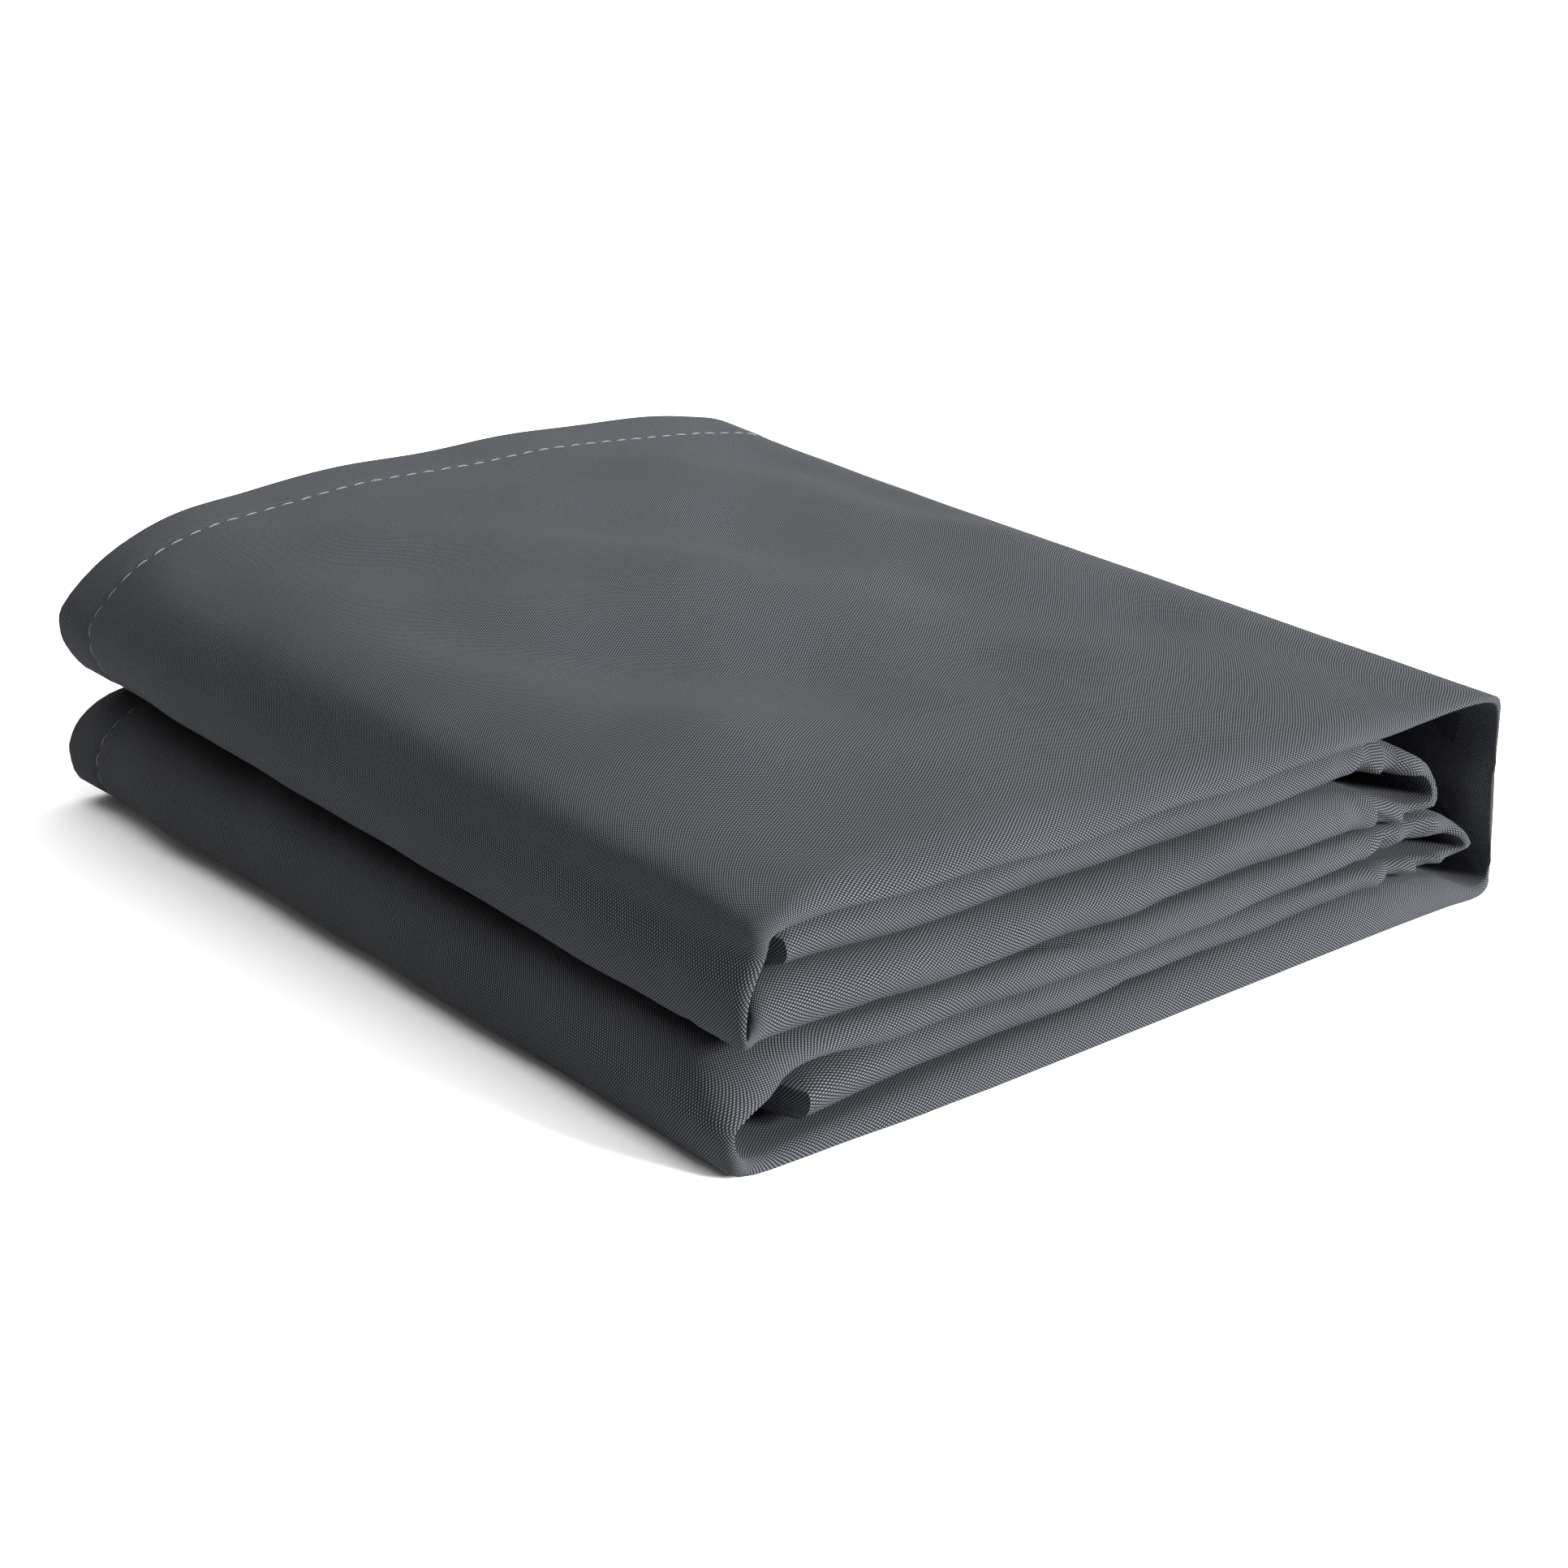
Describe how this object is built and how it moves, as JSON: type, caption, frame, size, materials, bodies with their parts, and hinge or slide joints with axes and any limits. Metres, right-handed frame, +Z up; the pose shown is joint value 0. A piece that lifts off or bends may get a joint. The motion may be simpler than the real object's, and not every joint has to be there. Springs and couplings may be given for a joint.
{
  "type": "folded grill cover",
  "caption": "Fabric grill cover folded flat and closed like a book, with rolled layered edges, a stitched hem side and a creased spine.",
  "frame": {"origin": "centre of the packet's footprint, on the surface it lies on", "axes": "+X from the rolled edges to the spine, +Y from the closed fold to the stitched hem side, +Z up"},
  "size_m": [0.253, 0.305, 0.082],
  "materials": {
    "outer_cloth": "coated plain-woven polyester, charcoal grey",
    "hem_cloth": "the same cloth, turned in and pressed",
    "thread": "spun polyester sewing thread, a shade lighter than the cloth"
  },
  "bodies": {
    "lower_half": {"front_panel_lower": "outer_cloth", "back_panel_lower": "outer_cloth", "top_panel_lower": "outer_cloth", "front_hem_lower": "hem_cloth", "back_hem_lower": "hem_cloth", "hem_thread_lower": "thread", "left_side_panel": "outer_cloth"},
    "spine": {"front_panel_spine": "outer_cloth", "back_panel_spine": "outer_cloth", "top_panel_spine": "outer_cloth", "front_hem_spine": "hem_cloth", "back_hem_spine": "hem_cloth", "hem_thread_spine": "thread"},
    "upper_half": {"front_panel_upper": "outer_cloth", "back_panel_upper": "outer_cloth", "top_panel_upper": "outer_cloth", "front_hem_upper": "hem_cloth", "back_hem_upper": "hem_cloth", "hem_thread_upper": "thread", "right_side_panel": "outer_cloth"}
  },
  "joints": [
    {"name": "spine_fold", "type": "hinge", "parent": "lower_half", "child": "spine", "pos_m": [0.1235, 0, 0.003], "axis": [0, 1, 0], "range_deg": [0, 90]},
    {"name": "upper_fold", "type": "hinge", "parent": "spine", "child": "upper_half", "pos_m": [0.1235, 0, 0.066], "axis": [0, 0.9964, 0.0849], "range_deg": [0, 90]}
  ],
  "couplings": [
    {"joint": "spine_fold", "follows": "upper_fold", "ratio": 1}
  ]
}
